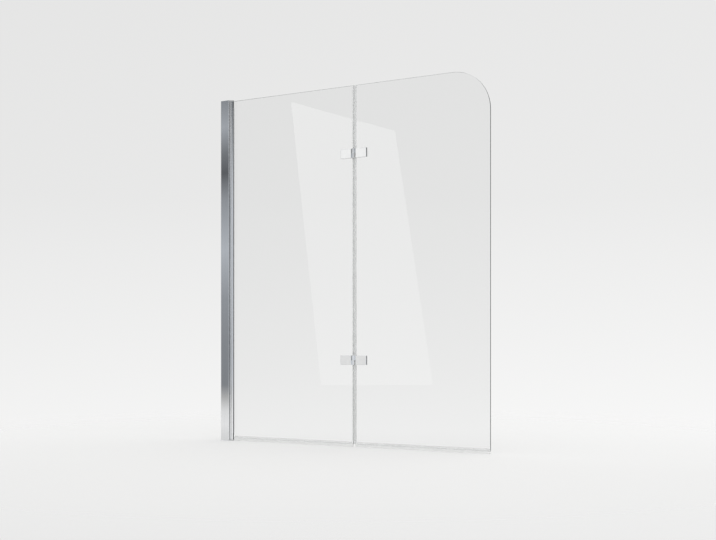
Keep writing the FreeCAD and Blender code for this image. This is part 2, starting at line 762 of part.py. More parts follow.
def edge_seal(panel, glass_edge):
    """Clip along the glass edge at the fold, with a round nose towards the other panel."""
    body = new_body(f"{panel}_edge_seal", glass_edge, z="Layout.edge_foot")
    out = -PANELS[panel]
    leg = f"{-out} * Dims.edge_leg"
    base = f"{out} * Dims.edge_base"
    nose = f"{out} * Layout.edge_nose"
    sketch = new_sketch(body, "XY_Plane")
    outline(
        sketch,
        (leg, "-Layout.seal_half"),
        (leg, "-Layout.glass_half"),
        ("0", "-Layout.glass_half"),
        ("0", "Layout.glass_half"),
        (leg, "Layout.glass_half"),
        (leg, "Layout.seal_half"),
        (base, "Layout.seal_half"),
        (base, "Dims.edge_nose_root"),
        (nose, "Dims.edge_nose_tip"),
        (nose, "-Dims.edge_nose_tip"),
        (base, "-Dims.edge_nose_root"),
        (base, "-Layout.seal_half"),
    )
    pad(body, sketch, "Layout.glass_top - Layout.edge_foot")
    nose_end = "Max" if out > 0 else "Min"
    fillet(body, "Dims.edge_nose_radius", edges_on(local_shape(body), "z", x=nose_end))


def hinge_body(label, height):
    """A sub-part of a hinge, its own origin at the middle of the hinge's axis."""
    return new_body(label, "Layout.fold_axis", "Layout.hinge_y", height)


def plate(body, side, front, thickness, inset="0"):
    """Plate beside the hinge axis with rounded corners, inset all round from the leaf's outline."""
    sketch = new_sketch(body, "XY_Plane", f"{inset} - Layout.leaf_half")
    near = f"{side} * (Layout.leaf_setback + {inset})"
    far = f"{side} * (Layout.leaf_end - {inset})"
    rectangle(sketch, near, far, front, f"{front} + {thickness}")
    pad(body, sketch, f"Dims.leaf_height - 2 * {inset}")
    shape = local_shape(body)
    ends = ("Min", "Max")
    corners = [edge for x in ends for z in ends for edge in edges_on(shape, "y", x=x, z=z)]
    fillet(body, "Dims.leaf_corner", corners)


def hinge_leaf(end, height, panel):
    """Front plate with an arm to its knuckle, which is the lower one on the inner leaf."""
    side = PANELS[panel]
    body = hinge_body(f"{end}_hinge_{panel}_leaf", height)
    plate(body, side, "Dims.fold_gap", "Dims.leaf_thickness")
    fillet(body, "Dims.leaf_edge", rim_of(local_shape(body), "y", "Min"))
    foot = "-Layout.leaf_half" if panel == "inner" else "Dims.washer_thickness / 2"
    setback = f"{side} * (Layout.leaf_setback + Dims.leaf_edge)"
    arm_front = "Dims.fold_gap + Dims.leaf_edge"
    sketch = new_sketch(body, "XY_Plane", foot)
    outline(
        sketch,
        (setback, arm_front),
        ("0", "0"),
        ("0", "Layout.barrel_radius"),
        (setback, f"{arm_front} + Dims.arm_thickness"),
    )
    pad(body, sketch, "Layout.knuckle_height")
    sketch = new_sketch(body, "XY_Plane", foot)
    circle(sketch, "0", "0", "Layout.barrel_radius")
    pad(body, sketch, "Layout.knuckle_height")
    sketch = new_sketch(body, "XY_Plane", foot)
    circle(sketch, "0", "0", "Dims.hinge_pin_radius + Dims.pin_fit")
    cut(body, sketch, "Layout.knuckle_height")
    sketch = new_sketch(body, "XZ_Plane", "-Layout.leaf_back")
    for place in screw_places(side):
        circle(sketch, place, "0", "Dims.clamp_screw_radius + Dims.pin_fit")
    cut(body, sketch, "Layout.thread_depth")


def hinge_pad(end, height, panel, face, start, inset):
    """Thin pad between a plate and the glass, inset all round from the leaf's outline."""
    side = PANELS[panel]
    body = hinge_body(f"{end}_hinge_{panel}_{face}_pad", height)
    sketch = new_sketch(body, "XZ_Plane", f"-{start}")
    near = f"{side} * (Layout.leaf_setback + {inset})"
    far = f"{side} * (Layout.leaf_end - {inset})"
    edge = f"Layout.leaf_half - {inset}"
    rectangle(sketch, near, far, f"-({edge})", edge)
    for place in screw_places(side):
        circle(sketch, place, "0", "Layout.clamp_hole_radius")
    pad(body, sketch, "Dims.pad_thickness", True)


def hinge_clamp(end, height, panel):
    """Smaller plate behind the glass, countersunk for its two screws."""
    side = PANELS[panel]
    body = hinge_body(f"{end}_hinge_{panel}_clamp", height)
    plate(body, side, "Layout.clamp_front", "Dims.clamp_thickness", "Dims.clamp_inset")
    fillet(body, "Dims.leaf_edge", rim_of(local_shape(body), "y", "Max"))
    sketch = new_sketch(body, "XZ_Plane", "-Layout.clamp_back")
    for place in screw_places(side):
        circle(sketch, place, "0", "Layout.clamp_hole_radius")
    cut(body, sketch, "Dims.clamp_thickness")
    chamfer(body, "Dims.clamp_head_rim", holes_of(local_shape(body), "y", "Max"))


def hinge_washer(end, height):
    """Washer between the two knuckles."""
    body = hinge_body(f"{end}_hinge_washer", height)
    sketch = new_sketch(body, "XY_Plane", "-Dims.washer_thickness / 2")
    circle(sketch, "0", "0", "Layout.barrel_radius")
    circle(sketch, "0", "0", "Dims.hinge_pin_radius + Dims.pin_fit")
    pad(body, sketch, "Dims.washer_thickness")


def hinge_pin(end, height):
    """Pin through both knuckles of a hinge."""
    body = hinge_body(f"{end}_hinge_pin", height)
    sketch = new_sketch(body, "XY_Plane", "-Layout.leaf_half")
    circle(sketch, "0", "0", "Dims.hinge_pin_radius")
    pad(body, sketch, "Dims.leaf_height")
    for tip in ("Min", "Max"):
        chamfer(body, "Dims.pin_bevel", rim_of(local_shape(body), "z", tip))


def clamp_sleeves(panel):
    """Soft sleeves that keep the clamp screws off the glass."""
    body = new_body(f"{panel}_clamp_sleeves", "Layout.fold_axis")
    sketch = new_sketch(body, "XZ_Plane", "Layout.glass_half")
    for height in HINGES.values():
        for place in screw_places(PANELS[panel]):
            circle(sketch, place, height, "Layout.sleeve_radius")
            circle(sketch, place, height, "Layout.clamp_hole_radius")
    pad(body, sketch, "Dims.glass_thickness", True)


def clamp_screws(panel):
    """Countersunk screws from the clamps into the leaves."""
    first = f"Layout.fold_axis + {screw_places(PANELS[panel])[0]}"
    body = new_body(
        f"{panel}_clamp_screws", first, "Layout.hinge_y + Layout.clamp_back", "Dims.lower_hinge_height"
    )
    tip = "-(Layout.clamp_back - Layout.leaf_back + Layout.thread_depth - Dims.clamp_screw_fit)"
    sketch = new_sketch(body, "XY_Plane")
    outline(
        sketch,
        ("0", "0"),
        ("0", tip),
        ("Dims.clamp_screw_radius", tip),
        ("Dims.clamp_screw_radius", "-Dims.clamp_head_rim"),
        ("Layout.clamp_head_radius", "0"),
    )
    screw = turn(body, sketch)
    socket = hex_socket(body, "0", "Dims.clamp_socket_width", "Dims.clamp_socket_depth")
    up = ("Z_Axis", "Layout.hinge_span", len(HINGES))
    columns = len(screw_places(PANELS[panel]))
    repeat(body, [screw, socket], "X_Axis", "Layout.clamp_screw_spacing", columns, up)


def hinges():
    """Both glass hinges, piece by piece."""
    for end, height in HINGES.items():
        for panel in PANELS:
            hinge_leaf(end, height, panel)
            hinge_pad(end, height, panel, "front", "Layout.leaf_back", "Dims.pad_inset")
            hinge_pad(end, height, panel, "back", "Layout.glass_back", "(Dims.clamp_inset + Dims.pad_inset)")
            hinge_clamp(end, height, panel)
        hinge_washer(end, height)
        hinge_pin(end, height)
    for panel in PANELS:
        clamp_sleeves(panel)
        clamp_screws(panel)


def wall_side():
    """Everything that stays with the wall."""
    wall_channel()
    carrier_profile()
    wiper_seal()
    pivot_block("lower", "0", True)
    pivot_block("upper", "Dims.screen_height", False)
    pivot_bush("lower", "Dims.lug_height", True)
    pivot_bush("upper", "Dims.screen_height - Dims.lug_height", False)
    lock_screws()
    screw_covers()


def panels():
    """The upright, both panes and the seals on their edges."""
    pivot_upright()
    pivot_pins()
    glazing_gasket()
    inner_glass()
    outer_glass()
    drip_seal("inner", "Layout.drip_start", "Layout.inner_glass_end")
    drip_seal("outer", "Layout.outer_glass_start", "Dims.screen_reach")
    edge_seal("inner", "Layout.inner_glass_end")
    edge_seal("outer", "Layout.outer_glass_start")


def check_and_write():
    """Stops on any failed object, then writes one file for each sub-part."""
    doc.recompute()
    for item in doc.Objects:
        if "Invalid" in item.State or "Error" in item.State:
            raise ValueError(f"{item.Label} failed: {item.State}")
    for body in nodes:
        if body.Shape.isNull() or not body.Shape.isValid() or not body.Shape.Solids:
            raise ValueError(f"{body.Label} has no valid solid")
    os.makedirs("parts", exist_ok=True)
    for body in nodes:
        body.Shape.exportStep(f"parts/{body.Label}.step")


wall_side()
panels()
hinges()
check_and_write()
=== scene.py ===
import json
import math

import bpy
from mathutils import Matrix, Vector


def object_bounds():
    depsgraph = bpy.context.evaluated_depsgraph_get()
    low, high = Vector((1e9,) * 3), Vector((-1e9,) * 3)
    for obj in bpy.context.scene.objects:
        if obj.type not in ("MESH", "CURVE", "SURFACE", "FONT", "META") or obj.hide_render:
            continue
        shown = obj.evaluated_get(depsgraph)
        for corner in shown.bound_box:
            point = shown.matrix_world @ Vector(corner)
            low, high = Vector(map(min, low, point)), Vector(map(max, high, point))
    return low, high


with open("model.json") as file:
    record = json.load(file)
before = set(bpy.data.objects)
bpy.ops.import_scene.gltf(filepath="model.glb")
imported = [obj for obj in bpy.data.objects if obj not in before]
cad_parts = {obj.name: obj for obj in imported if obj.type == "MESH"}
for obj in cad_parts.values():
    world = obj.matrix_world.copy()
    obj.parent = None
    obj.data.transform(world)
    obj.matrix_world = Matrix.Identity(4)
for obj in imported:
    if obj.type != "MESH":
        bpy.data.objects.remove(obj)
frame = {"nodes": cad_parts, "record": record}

CAD_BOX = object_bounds()

# Lengths are in metres unless a name says otherwise. Colours and brightness are linear.

# A share that is full, and the opacity of a full colour.
FULL = 1.0
OPAQUE = 1.0

# The photo's camera: level, with a lens shift that keeps the uprights parallel. Angles are in degrees, and
# the tilt is measured from straight down.
CAMERA_PLACE = (2.8171, -3.7494, 0.4024)
CAMERA_TURN = 30.06
CAMERA_TILT = 90.0
IMAGE_WIDTH = 716
IMAGE_HEIGHT = 540
FOCAL_LENGTH_PIXELS = 1123.94
HORIZON_ROW = 342.71
SENSOR_WIDTH_MM = 36.0

# Floor disc, which fades into the backdrop between two distances from its middle.
FLOOR_RADIUS = 2.6
FLOOR_FADE_START = 0.3
FLOOR_SIDES = 96
FLOOR_COLOUR = (0.918, 0.918, 0.914, OPAQUE)

# What the scrim in the plane of the panes lets through.
SCRIM_COLOUR = (0.84, 0.84, 0.84, OPAQUE)

# Large soft lamp overhead.
LAMP_PLACE = (1.2, 1.2, 2.4)
LAMP_SIZE = 1.6
LAMP_WATTS = 4.0

# Sine of the height angle of straight down and of straight up.
SINE_DOWN = -1.0
SINE_UP = 1.0
# What takes the height out of a direction.
LEVEL = (1.0, 1.0, 0.0)

# Backdrop brightness by the height of the line of sight, as (sine of the height angle, brightness).
BACKDROP_STEPS = (
    (-0.40, 0.87),
    (-0.20, 0.82),
    (-0.11, 0.855),
    (-0.078, 0.92),
    (0.0, 0.88),
    (0.08, 0.843),
    (0.126, 0.817),
    (0.30, 0.80),
    (1.0, 1.05),
)
BACKDROP_TINT = (1.0, 1.0, 0.997)
# Shares by which the backdrop's brightness also rises along X, Y and Z.
BACKDROP_LEAN_SHARES = (0.051, 0.03, 0.0)
# Share of its brightness that the backdrop lacks in reflections, so that clear panes show against it.
BACKDROP_DIMMING_SHARE = 0.35

# A dark flag behind the screen on the right, which only reflections see and which darkens end faces: its
# middle, and the closeness to it at which it begins and is full.
FLAG_WAY = (0.53, 0.85, 0.0)
FLAG_OUTSIDE_SHARE = 0.86
FLAG_INSIDE_SHARE = 0.94
FLAG_COLOUR = (0.11, 0.11, 0.114, OPAQUE)

# The studio in front of the screen, which only reflections see, has a dim sector that the flat faces mirror
# to the camera, and brighter sides with a neutral foot. Steps as for the backdrop.
STUDIO_STEPS = (
    (-0.2, 0.55),
    (-0.06, 0.36),
    (-0.03, 0.28),
    (0.04, 0.31),
    (0.08, 0.36),
    (0.11, 0.46),
    (0.2, 0.46),
    (0.35, 0.55),
    (0.7, 1.0),
)
STUDIO_SIDE_FOOT_STEPS = (
    (-0.06, 1.05),
    (-0.046, 0.85),
)
STUDIO_SIDE_STEPS = (
    (-0.037, 0.68),
    (0.0, 0.63),
    (0.126, 0.65),
    (0.15, 0.60),
    (0.166, 0.38),
    (0.18, 0.32),
    (0.197, 0.21),
    (0.215, 0.22),
    (0.35, 0.55),
    (0.7, 1.0),
)
STUDIO_TINT = (0.95, 1.0, 1.07)
# The studio takes over from the backdrop between these two values of a direction's Y share.
STUDIO_FROM_SHARE = 0.05
STUDIO_TO_SHARE = -0.35
# Middle of the dim sector, and the closeness to it at which the sides begin and end to give way.
SECTOR_WAY = (-0.497, -0.868, 0.0)
SECTOR_OUTSIDE_SHARE = 0.965
SECTOR_INSIDE_SHARE = 0.992
# A path that is mirrored once or more is mirrored more often than this.
MIRRORINGS_ABOVE = 0.5

# What a card lets through from behind it.
CLEAR_COVER = (1.0, 1.0, 1.0, OPAQUE)
DARK_COVER = (0.0, 0.0, 0.0, OPAQUE)
# Cards at the same place stand this far apart, because one would hide the other.
CARD_GAP = 0.01

# Reflector card whose mirror image lies across both panes: its corners, and its brightness by height for
# the panes and for all other pieces.
PANE_CARD_CORNERS = (
    (-1.311, -2.5, 2.003),
    (-0.527, -2.5, 1.736),
    (-0.261, -2.5, 0.141),
    (-1.076, -2.5, 0.126),
)
PANE_CARD_STEPS = ((0.12, 0.7), (2.01, 1.5))
PIECE_CARD_STEPS = ((0.12, 0.55), (2.01, 0.52))

# Striped card beside the wall channel, which its flat face mirrors: its two ends on the floor plan, and its
# brightness by height, with a neutral foot.
STRIP_CARD_ENDS = ((-0.30, -0.30), (-0.14, -0.30))
STRIP_FOOT_STEPS = (
    (-0.05, 0.76),
    (0.0, 0.84),
    (0.04, 0.93),
    (0.1, 0.84),
    (0.165, 0.48),
)
STRIP_STEPS = (
    (0.215, 0.27),
    (0.40, 0.29),
    (0.595, 0.35),
    (0.815, 0.54),
    (1.04, 0.34),
    (1.155, 0.13),
    (1.245, 0.22),
    (1.36, 0.45),
    (1.48, 0.30),
    (1.60, 0.35),
)

# Wide card towards the camera, which the middles of the hinge barrels mirror: its two ends on the floor
# plan, and its brightness by height.
BARREL_CARD_ENDS = ((0.61, -1.32), (2.0, -0.52))
BARREL_CARD_STEPS = ((-0.2, 0.18), (1.8, 0.42))
# A second card, nearer to the screen by the gap, for the groove beside the upright: its brightness by
# height, and the nodes that mirror it.
GROOVE_CARD_STEPS = (
    (-0.15, 0.75),
    (0.0, 0.65),
    (0.1, 0.2),
    (0.36, 0.0),
    (0.75, 0.36),
    (1.17, 0.05),
    (1.38, 0.5),
    (1.6, 1.05),
    (1.75, 1.05),
)
GROOVE_NODES = ("carrier_profile", "wall_channel")

# Most of a noise texture's values lie between these two. Its stretch is a scale for each axis.
NOISE_LOW = 0.3
NOISE_HIGH = 0.7
NOISE_SCALE = 1.0
NOISE_DETAIL = 3.0

# Extruded profiles: fine lines along their length, wiped and polished.
DRAWN_STRETCH = (1400.0, 1400.0, 3.0)
DRAWN_ROUGHNESS = (0.03, 0.06)
DRAWN_DARK = (0.76, 0.77, 0.785)
DRAWN_LIGHT = (0.84, 0.845, 0.85)
DRAWN_BUMP_STRENGTH = 0.05
DRAWN_BUMP_HEIGHT = 0.00003
WIPE_STRETCH = (18.0, 18.0, 5.0)
WIPE_ROUGHNESS = (0.01, 0.04)

# Chromed hinges: smears, and a fine polishing grain.
SMEAR_STRETCH = (70.0, 70.0, 70.0)
SMEAR_DETAIL = 5.0
SMEAR_ROUGHNESS = (0.03, 0.07)
CHROME_DARK = (0.84, 0.845, 0.85)
CHROME_LIGHT = (0.88, 0.885, 0.885)
CHROME_STRETCH = (2500.0, 600.0, 600.0)
CHROME_ROUGHNESS = (0.0, 0.02)
CHROME_BUMP_STRENGTH = 0.05
CHROME_BUMP_HEIGHT = 0.00002

# Satin steel of screws and pins.
STEEL_STRETCH = (900.0, 900.0, 900.0)
STEEL_ROUGHNESS = (0.22, 0.36)
STEEL_DARK = (0.55, 0.555, 0.56)
STEEL_LIGHT = (0.66, 0.66, 0.66)
STEEL_BUMP_STRENGTH = 0.1
STEEL_BUMP_HEIGHT = 0.00003

# Float glass: a thin film on its faces, ground edges, and what its thickness takes from the light. A spot is
# on a face or an edge by the Y share of its normal.
CLEAR_IOR = 1.5
FILM_STRETCH = (9.0, 9.0, 4.0)
FILM_DETAIL = 4.0
FILM_ROUGHNESS = (0.0, 0.012)
GRIND_STRETCH = (1200.0, 1200.0, 1200.0)
GRIND_ROUGHNESS = (0.08, 0.2)
FACE_SHARE = 0.9
EDGE_SHARE = 0.6
FACE_COLOUR = (1.0, 1.0, 1.0)
EDGE_COLOUR = (0.46, 0.53, 0.51)
GLASS_COLOUR = (0.545, 0.587, 0.572, OPAQUE)
GLASS_DENSITY = 11.0

# Clear seals. The drip seals get a clearer copy of the seal finish, painted light that makes them show
# lighter in the shade near the floor.
EDGE_SEAL_MILKINESS_SHARE = 0.32
LIGHTENED_DRIP_SEAL_MILKINESS_SHARE = 0.18
SEAL_STRETCH = (900.0, 900.0, 900.0)
SEAL_DETAIL = 2.0
SEAL_ROUGHNESS = (0.16, 0.26)
SEAL_CLOUD_STRETCH = (30.0, 30.0, 12.0)
SEAL_DARK = (0.9, 0.91, 0.91)
SEAL_LIGHT = (0.95, 0.955, 0.955)
SEAL_BUMP_STRENGTH = 0.08
SEAL_BUMP_HEIGHT = 0.00003

# Moulded plastics and rubber.
MOULD_STRETCH = (1500.0, 1500.0, 1500.0)
MOULD_DETAIL = 2.0
MOULD_CLOUD_STRETCH = (60.0, 60.0, 60.0)
MOULD_BUMP_STRENGTH = 0.2
MOULD_BUMP_HEIGHT = 0.00005


def spot(low, high, value):
    """Where a value lies between two limits, from 0 to 1."""
    return (value - low) / (high - low)


def tinted(steps, tint):
    """Steps of brightness as steps of colour."""
    return [(place, [level * share for share in tint]) for place, level in steps]


class Tree:
    """A node tree with short ways to add, set and link nodes."""

    def __init__(self, owner):
        owner.use_nodes = True
        self.nodes = owner.node_tree.nodes
        self.links = owner.node_tree.links
        self.nodes.clear()

    def add(self, kind, inputs=None, **settings):
        """A node of this kind, with its settings, and its inputs set to values or linked to sockets."""
        made = self.nodes.new(kind)
        for name, setting in settings.items():
            setattr(made, name, setting)
        for name, source in (inputs or {}).items():
            if isinstance(source, bpy.types.NodeSocket):
                self.links.new(source, made.inputs[name])
            else:
                made.inputs[name].default_value = source
        return made

    def calc(self, operation, first, second=0.0):
        """The result of a calculation."""
        made = self.add("ShaderNodeMath", {0: first, 1: second}, operation=operation)
        return made.outputs[0]

    def vector(self, operation, first, second=None):
        """A node for a calculation with vectors."""
        inputs = {0: first} if second is None else {0: first, 1: second}
        return self.add("ShaderNodeVectorMath", inputs, operation=operation)

    def dot(self, first, second):
        """The dot product of two vectors, which for directions is their closeness."""
        return self.vector("DOT_PRODUCT", first, second).outputs["Value"]

    def smooth(self, value, low, high):
        """Where a value lies between two limits, eased at both."""
        limits = {"Value": value, "From Min": low, "From Max": high}
        return self.add("ShaderNodeMapRange", limits, interpolation_type="SMOOTHSTEP").outputs[0]

    def ramp(self, value, low, high, steps):
        """A colour read from steps."""
        share = self.add("ShaderNodeMapRange", {"Value": value, "From Min": low, "From Max": high})
        made = self.add("ShaderNodeValToRGB", {"Fac": share.outputs[0]})
        stops = made.color_ramp.elements
        while len(stops) < len(steps):
            stops.new(0.0)
        for stop, (place, colour) in zip(stops, steps):
            stop.position = spot(low, high, place)
            stop.color = (*colour, OPAQUE)
        return made.outputs["Color"]

    def noise(self, stretch, detail=NOISE_DETAIL):
        """Noise over the object's own coordinates."""
        place = self.add("ShaderNodeTexCoord").outputs["Object"]
        scaled = self.vector("MULTIPLY", place, stretch).outputs[0]
        made = self.add("ShaderNodeTexNoise", {"Vector": scaled, "Scale": NOISE_SCALE, "Detail": detail})
        return made.outputs["Fac"]

    def between(self, value, low, high):
        """Noise brought between two levels."""
        limits = {"From Min": NOISE_LOW, "From Max": NOISE_HIGH, "To Min": low, "To Max": high}
        return self.add("ShaderNodeMapRange", {"Value": value, **limits}).outputs[0]

    def blend(self, share, first, second):
        """A colour between two colours."""
        made = self.add("ShaderNodeMix", {"Factor": share}, data_type="RGBA")
        sockets = [socket for socket in made.inputs if socket.type == "RGBA"]
        for socket, colour in zip(sockets, (first, second)):
            socket.default_value = (*colour, OPAQUE)
        return next(socket for socket in made.outputs if socket.type == "RGBA")

    def shades(self, value, dark, light):
        """Noise as a colour between two colours."""
        return self.blend(self.between(value, 0.0, FULL), dark, light)

    def bump(self, height, strength, distance):
        """A surface normal from a height."""
        made = self.add("ShaderNodeBump", {"Height": height, "Strength": strength, "Distance": distance})
        return made.outputs[0]

    def mix(self, share, first, second):
        """Two shaders mixed by the second one's share."""
        return self.add("ShaderNodeMixShader", {0: share, 1: first.outputs[0], 2: second.outputs[0]})


def material(name, build):
    """A material whose surface shader, and volume if it has one, the build function makes."""
    made = bpy.data.materials.new(name)
    tree = Tree(made)
    shader, volume = build(tree)
    out = tree.add("ShaderNodeOutputMaterial", {"Surface": shader.outputs[0]})
    if volume:
        tree.links.new(volume.outputs[0], out.inputs["Volume"])
    return made


def polished_aluminium(tree):
    """An extruded profile with fine lines along it."""
    lines = tree.noise(DRAWN_STRETCH)
    wipes = tree.noise(WIPE_STRETCH)
    line_gloss = tree.between(lines, *DRAWN_ROUGHNESS)
    wipe_gloss = tree.between(wipes, *WIPE_ROUGHNESS)
    shader = tree.add(
        "ShaderNodeBsdfPrincipled",
        {
            "Base Color": tree.shades(lines, DRAWN_DARK, DRAWN_LIGHT),
            "Metallic": FULL,
            "Roughness": tree.calc("ADD", line_gloss, wipe_gloss),
            "Normal": tree.bump(lines, DRAWN_BUMP_STRENGTH, DRAWN_BUMP_HEIGHT),
        },
    )
    return shader, None


def chrome_hinge(tree):
    """Polished chrome with smears and a fine grain."""
    smears = tree.noise(SMEAR_STRETCH, SMEAR_DETAIL)
    grain = tree.noise(CHROME_STRETCH)
    smear_gloss = tree.between(smears, *SMEAR_ROUGHNESS)
    grain_gloss = tree.between(grain, *CHROME_ROUGHNESS)
    shader = tree.add(
        "ShaderNodeBsdfPrincipled",
        {
            "Base Color": tree.shades(smears, CHROME_DARK, CHROME_LIGHT),
            "Metallic": FULL,
            "Roughness": tree.calc("ADD", smear_gloss, grain_gloss),
            "Normal": tree.bump(grain, CHROME_BUMP_STRENGTH, CHROME_BUMP_HEIGHT),
        },
    )
    return shader, None


def steel_fixing(tree):
    """Satin steel."""
    grain = tree.noise(STEEL_STRETCH)
    shader = tree.add(
        "ShaderNodeBsdfPrincipled",
        {
            "Base Color": tree.shades(grain, STEEL_DARK, STEEL_LIGHT),
            "Metallic": FULL,
            "Roughness": tree.between(grain, *STEEL_ROUGHNESS),
            "Normal": tree.bump(grain, STEEL_BUMP_STRENGTH, STEEL_BUMP_HEIGHT),
        },
    )
    return shader, None


def clear_glass(tree):
    """Float glass: polished faces under a thin film, and ground edges."""
    film = tree.noise(FILM_STRETCH, FILM_DETAIL)
    grind = tree.noise(GRIND_STRETCH)
    normal = tree.add("ShaderNodeTexCoord").outputs["Normal"]
    facing = tree.add("ShaderNodeSeparateXYZ", {0: normal}).outputs["Y"]
    edge_limits = {"Value": tree.calc("ABSOLUTE", facing), "From Min": FACE_SHARE, "From Max": EDGE_SHARE}
    edge = tree.add("ShaderNodeMapRange", edge_limits).outputs[0]
    edge_gloss = tree.calc("MULTIPLY", edge, tree.between(grind, *GRIND_ROUGHNESS))
    shader = tree.add(
        "ShaderNodeBsdfPrincipled",
        {
            "Base Color": tree.blend(edge, FACE_COLOUR, EDGE_COLOUR),
            "Roughness": tree.calc("ADD", edge_gloss, tree.between(film, *FILM_ROUGHNESS)),
            "IOR": CLEAR_IOR,
            "Transmission Weight": FULL,
        },
    )
    volume = tree.add("ShaderNodeVolumeAbsorption", {"Color": GLASS_COLOUR, "Density": GLASS_DENSITY})
    return shader, volume


def clear_seal(milkiness_share):
    """An extruded clear seal, more or less milky."""

    def build(tree):
        drawn = tree.noise(SEAL_STRETCH, SEAL_DETAIL)
        cloud = tree.noise(SEAL_CLOUD_STRETCH)
        shader = tree.add(
            "ShaderNodeBsdfPrincipled",
            {
                "Base Color": tree.shades(cloud, SEAL_DARK, SEAL_LIGHT),
                "Roughness": tree.between(drawn, *SEAL_ROUGHNESS),
                "IOR": CLEAR_IOR,
                "Alpha": milkiness_share,
                "Normal": tree.bump(drawn, SEAL_BUMP_STRENGTH, SEAL_BUMP_HEIGHT),
            },
        )
        return shader, None

    return build


def moulded(dark, light, smooth, rough):
    """A moulded plastic or rubber between two shades and two roughnesses."""

    def build(tree):
        grain = tree.noise(MOULD_STRETCH, MOULD_DETAIL)
        cloud = tree.noise(MOULD_CLOUD_STRETCH)
        shader = tree.add(
            "ShaderNodeBsdfPrincipled",
            {
                "Base Color": tree.shades(cloud, dark, light),
                "Roughness": tree.between(grain, smooth, rough),
                "Normal": tree.bump(grain, MOULD_BUMP_STRENGTH, MOULD_BUMP_HEIGHT),
            },
        )
        return shader, None

    return build


FINISHES = {
    "polished_aluminium": polished_aluminium,
    "chrome_hinge": chrome_hinge,
    "steel_fixing": steel_fixing,
    "clear_glass": clear_glass,
    "clear_seal": clear_seal(EDGE_SEAL_MILKINESS_SHARE),
    "grey_plastic": moulded(dark=(0.43, 0.44, 0.45), light=(0.49, 0.5, 0.51), smooth=0.35, rough=0.5),
    "dark_plastic": moulded(dark=(0.06, 0.06, 0.064), light=(0.1, 0.1, 0.106), smooth=0.35, rough=0.5),
    "white_nylon": moulded(dark=(0.79, 0.79, 0.77), light=(0.85, 0.85, 0.83), smooth=0.4, rough=0.55),
    "soft_rubber": moulded(dark=(0.34, 0.35, 0.36), light=(0.42, 0.43, 0.44), smooth=0.45, rough=0.6),
    # A clearer copy of the seal finish: painted light that lightens the drip seals in the shade near the
    # floor.
    "lightened_clear_drip_seal": clear_seal(LIGHTENED_DRIP_SEAL_MILKINESS_SHARE),
}
# Nodes whose finish isn't that of their material slot: the drip seals take the clearer copy of the seal
# finish, painted light against the shade near the floor.
NODE_FINISHES = {"inner_drip_seal": "lightened_clear_drip_seal", "outer_drip_seal": "lightened_clear_drip_seal"}


def hide_from(shown, *rays):
    """Hides an object from these kinds of rays."""
    for ray in rays:
        setattr(shown, f"visible_{ray}", False)


def dress_nodes():
    """Gives each CAD node its own finish, or that of its material slot."""
    finishes = {name: material(name, build) for name, build in FINISHES.items()}
    for part in frame["record"]["subparts"]:
        shown = frame["nodes"][part["node"]]
        for slot in shown.material_slots:
            slot.material = finishes[NODE_FINISHES.get(part["node"], part["material_slot"])]
        if part["material_slot"] == "clear_glass":
            # The scrim stands in for the light that the panes take.
            hide_from(shown, "shadow", "diffuse")


def make_floor():
    """A pale disc that catches the contact shadow and fades out to the backdrop."""
    centre_x = (CAD_BOX[0][0] + CAD_BOX[1][0]) / 2
    bpy.ops.mesh.primitive_circle_add(
        vertices=FLOOR_SIDES, radius=FLOOR_RADIUS, fill_type="NGON", location=(centre_x, 0, 0)
    )
    floor = bpy.context.object
    floor.name = "floor"
    surface = bpy.data.materials.new("floor_paint")
    floor.data.materials.append(surface)
    tree = Tree(surface)
    place = tree.add("ShaderNodeTexCoord").outputs["Object"]
    reach = tree.vector("LENGTH", place).outputs["Value"]
    paint = tree.add("ShaderNodeBsdfDiffuse", {"Color": FLOOR_COLOUR})
    clear = tree.add("ShaderNodeBsdfTransparent")
    mixed = tree.mix(tree.smooth(reach, FLOOR_FADE_START, FLOOR_RADIUS), paint, clear)
    tree.add("ShaderNodeOutputMaterial", {"Surface": mixed.outputs[0]})
    hide_from(floor, "glossy", "transmission")


def make_sheet(name, corners, surface_name):
    """A flat sheet with these corners, and the node tree of its material."""
    mesh = bpy.data.meshes.new(name)
    mesh.from_pydata(corners, [], [range(len(corners))])
    made = bpy.data.objects.new(name, mesh)
    bpy.context.scene.collection.objects.link(made)
    surface = bpy.data.materials.new(surface_name)
    mesh.materials.append(surface)
    return made, Tree(surface)


def upright_corners(left, right, low, high):
    """Corners of an upright sheet between two places on the floor plan and two heights."""
    return [(*left, low), (*right, low), (*right, high), (*left, high)]


def make_scrim():
    """A faint scrim in the plane of the panes, which takes a little of the light on its way to the floor."""
    (left, _, foot), (right, _, top) = CAD_BOX
    corners = upright_corners((left, 0), (right, 0), foot, top)
    scrim, tree = make_sheet("scrim", corners, "scrim_cloth")
    cloth = tree.add("ShaderNodeBsdfTransparent", {"Color": SCRIM_COLOUR})
    tree.add("ShaderNodeOutputMaterial", {"Surface": cloth.outputs[0]})
    hide_from(scrim, "camera", "glossy", "transmission")


def make_card(name, corners, steps, pieces, cover):
    """A card of light with a colour by height, which only the reflections in these pieces see.

    Its cover is the colour of what it lets through from behind.
    """
    card, tree = make_sheet(name, corners, f"{name}_light")
    place = tree.add("ShaderNodeTexCoord").outputs["Object"]
    height = tree.add("ShaderNodeSeparateXYZ", {0: place}).outputs["Z"]
    colour = tree.ramp(height, steps[0][0], steps[-1][0], steps)
    light = tree.add("ShaderNodeEmission", {"Color": colour})
    behind = tree.add("ShaderNodeBsdfTransparent", {"Color": cover})
    both = tree.add("ShaderNodeAddShader", {0: light.outputs[0], 1: behind.outputs[0]})
    tree.add("ShaderNodeOutputMaterial", {"Surface": both.outputs[0]})
    hide_from(card, "camera", "diffuse", "transmission", "shadow")
    lit = bpy.data.collections.new(f"{name}_lights")
    for piece in pieces:
        lit.objects.link(piece)
    card.light_linking.receiver_collection = lit


